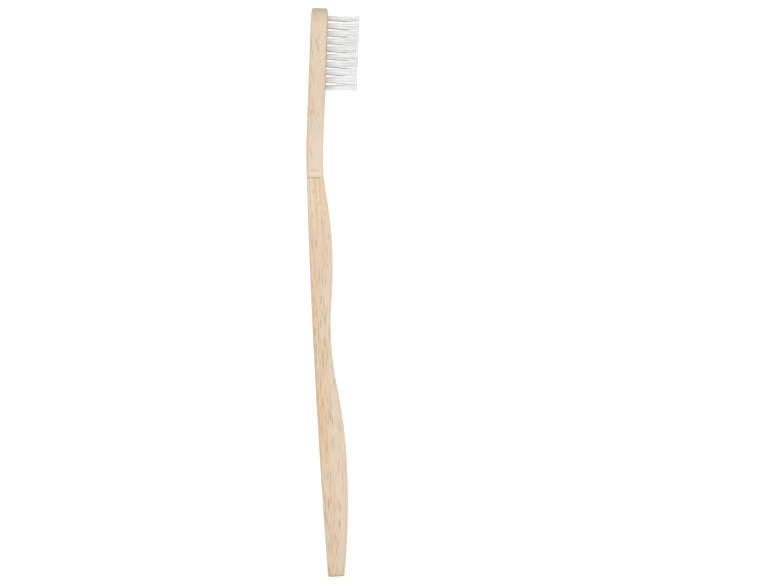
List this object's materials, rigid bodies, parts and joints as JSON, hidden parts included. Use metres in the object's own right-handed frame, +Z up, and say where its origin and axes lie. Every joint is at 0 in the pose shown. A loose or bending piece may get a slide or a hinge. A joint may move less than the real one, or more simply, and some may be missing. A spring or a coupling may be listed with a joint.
{
  "type": "manual toothbrush",
  "caption": "Manual toothbrush: a waved bamboo handle with a slim neck and a leaning head, whose drilled holes hold rows of white nylon tufts folded over small anchor plates.",
  "frame": {"origin": "under the middle of the whole brush, on the surface that it lies on", "axes": "+X the way the bristles point, +Y along the handle from the butt to the head, +Z up, across the width of the strip that the handle is cut from"},
  "size_m": [0.021, 0.1902, 0.012],
  "materials": {
    "bamboo": "fine-sanded bare bamboo with fine lengthwise fibres",
    "bristle": "white nylon filament, slightly see-through",
    "anchor": "plain stamped strip"
  },
  "bodies": {
    "root": {"handle": "bamboo", "tuft_row01_col1": "bristle", "tuft_row01_col2": "bristle", "tuft_row01_col3": "bristle", "tuft_row02_col1": "bristle", "tuft_row02_col2": "bristle", "tuft_row02_col3": "bristle", "tuft_row02_col4": "bristle", "tuft_row03_col1": "bristle", "tuft_row03_col2": "bristle", "tuft_row03_col3": "bristle", "tuft_row03_col4": "bristle", "tuft_row04_col1": "bristle", "tuft_row04_col2": "bristle", "tuft_row04_col3": "bristle", "tuft_row04_col4": "bristle", "tuft_row05_col1": "bristle", "tuft_row05_col2": "bristle", "tuft_row05_col3": "bristle", "tuft_row05_col4": "bristle", "tuft_row06_col1": "bristle", "tuft_row06_col2": "bristle", "tuft_row06_col3": "bristle", "tuft_row06_col4": "bristle", "tuft_row07_col1": "bristle", "tuft_row07_col2": "bristle", "tuft_row07_col3": "bristle", "tuft_row07_col4": "bristle", "tuft_row08_col1": "bristle", "tuft_row08_col2": "bristle", "tuft_row08_col3": "bristle", "tuft_row08_col4": "bristle", "tuft_row09_col1": "bristle", "tuft_row09_col2": "bristle", "tuft_row09_col3": "bristle", "tuft_row09_col4": "bristle", "tuft_row10_col1": "bristle", "tuft_row10_col2": "bristle", "tuft_row10_col3": "bristle", "anchor_plates": "anchor"}
  },
  "joints": []
}
